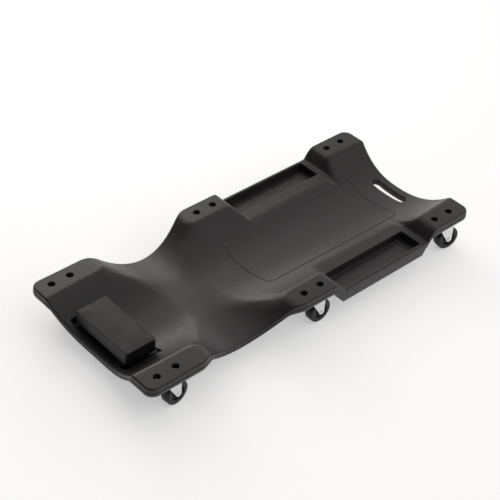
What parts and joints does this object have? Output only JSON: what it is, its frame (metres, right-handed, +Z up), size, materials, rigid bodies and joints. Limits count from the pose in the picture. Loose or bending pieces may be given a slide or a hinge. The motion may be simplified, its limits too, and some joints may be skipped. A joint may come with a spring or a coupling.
{
  "type": "mechanic creeper",
  "caption": "Low moulded plastic lying board with a padded headrest, side tool trays, a handle slot and swivel casters.",
  "frame": {"origin": "on the floor, under the middle of the board's bounding box", "axes": "+X from the headrest end to the handle-slot end, +Z up, +Y to the left when facing +X"},
  "size_m": [1.012, 0.442, 0.107],
  "materials": {
    "moulded_plastic": "satin, blow-moulded, charcoal",
    "vinyl": "matte padded vinyl, black",
    "backing_board": "plain board, painted black",
    "zinc_plated_steel": "bright zinc plate",
    "wheel_plastic": "smooth hard plastic, black"
  },
  "bodies": {
    "board": {"deck": "moulded_plastic", "headrest_cushion": "vinyl", "headrest_backing": "backing_board", "headrest_screws": "zinc_plated_steel", "king_pins": "zinc_plated_steel", "king_pin_washers": "zinc_plated_steel", "swivel_balls": "zinc_plated_steel", "caster_bolts": "zinc_plated_steel", "bolt_washers": "zinc_plated_steel", "bolt_nuts": "zinc_plated_steel", "plate_head_left": "zinc_plated_steel", "plate_head_right": "zinc_plated_steel", "plate_mid_left": "zinc_plated_steel", "plate_mid_right": "zinc_plated_steel", "plate_foot_left": "zinc_plated_steel", "plate_foot_right": "zinc_plated_steel"},
    "caster_head_left": {"fork_head_left": "zinc_plated_steel", "axle_rivet_head_left": "zinc_plated_steel", "axle_sleeve_head_left": "zinc_plated_steel"},
    "roller_head_left": {"wheel_head_left": "wheel_plastic"},
    "caster_head_right": {"fork_head_right": "zinc_plated_steel", "axle_rivet_head_right": "zinc_plated_steel", "axle_sleeve_head_right": "zinc_plated_steel"},
    "roller_head_right": {"wheel_head_right": "wheel_plastic"},
    "caster_mid_left": {"fork_mid_left": "zinc_plated_steel", "axle_rivet_mid_left": "zinc_plated_steel", "axle_sleeve_mid_left": "zinc_plated_steel"},
    "roller_mid_left": {"wheel_mid_left": "wheel_plastic"},
    "caster_mid_right": {"fork_mid_right": "zinc_plated_steel", "axle_rivet_mid_right": "zinc_plated_steel", "axle_sleeve_mid_right": "zinc_plated_steel"},
    "roller_mid_right": {"wheel_mid_right": "wheel_plastic"},
    "caster_foot_left": {"fork_foot_left": "zinc_plated_steel", "axle_rivet_foot_left": "zinc_plated_steel", "axle_sleeve_foot_left": "zinc_plated_steel"},
    "roller_foot_left": {"wheel_foot_left": "wheel_plastic"},
    "caster_foot_right": {"fork_foot_right": "zinc_plated_steel", "axle_rivet_foot_right": "zinc_plated_steel", "axle_sleeve_foot_right": "zinc_plated_steel"},
    "roller_foot_right": {"wheel_foot_right": "wheel_plastic"}
  },
  "joints": [
    {"name": "swivel_head_left", "type": "hinge", "parent": "board", "child": "caster_head_left", "pos_m": [-0.44, 0.1905, 0], "axis": [0, 0, 1], "continuous": true},
    {"name": "roll_head_left", "type": "hinge", "parent": "caster_head_left", "child": "roller_head_left", "pos_m": [-0.41414, 0.18778, 0.031], "axis": [0.1045, 0.9945, 0], "continuous": true},
    {"name": "swivel_head_right", "type": "hinge", "parent": "board", "child": "caster_head_right", "pos_m": [-0.44, -0.1905, 0], "axis": [0, 0, 1], "continuous": true},
    {"name": "roll_head_right", "type": "hinge", "parent": "caster_head_right", "child": "roller_head_right", "pos_m": [-0.41414, -0.18778, 0.031], "axis": [-0.1045, 0.9945, 0], "continuous": true},
    {"name": "swivel_mid_left", "type": "hinge", "parent": "board", "child": "caster_mid_left", "pos_m": [-0.011, 0.1905, 0], "axis": [0, 0, 1], "continuous": true},
    {"name": "roll_mid_left", "type": "hinge", "parent": "caster_mid_left", "child": "roller_mid_left", "pos_m": [0.015, 0.1905, 0.031], "axis": [0, 1, 0], "continuous": true},
    {"name": "swivel_mid_right", "type": "hinge", "parent": "board", "child": "caster_mid_right", "pos_m": [-0.011, -0.1905, 0], "axis": [0, 0, 1], "continuous": true},
    {"name": "roll_mid_right", "type": "hinge", "parent": "caster_mid_right", "child": "roller_mid_right", "pos_m": [0.015, -0.1905, 0.031], "axis": [0, 1, 0], "continuous": true},
    {"name": "swivel_foot_left", "type": "hinge", "parent": "board", "child": "caster_foot_left", "pos_m": [0.431, 0.1905, 0], "axis": [0, 0, 1], "continuous": true},
    {"name": "roll_foot_left", "type": "hinge", "parent": "caster_foot_left", "child": "roller_foot_left", "pos_m": [0.4566, 0.19501, 0.031], "axis": [-0.1736, 0.9848, 0], "continuous": true},
    {"name": "swivel_foot_right", "type": "hinge", "parent": "board", "child": "caster_foot_right", "pos_m": [0.431, -0.1905, 0], "axis": [0, 0, 1], "continuous": true},
    {"name": "roll_foot_right", "type": "hinge", "parent": "caster_foot_right", "child": "roller_foot_right", "pos_m": [0.4566, -0.19501, 0.031], "axis": [0.1736, 0.9848, 0], "continuous": true}
  ]
}
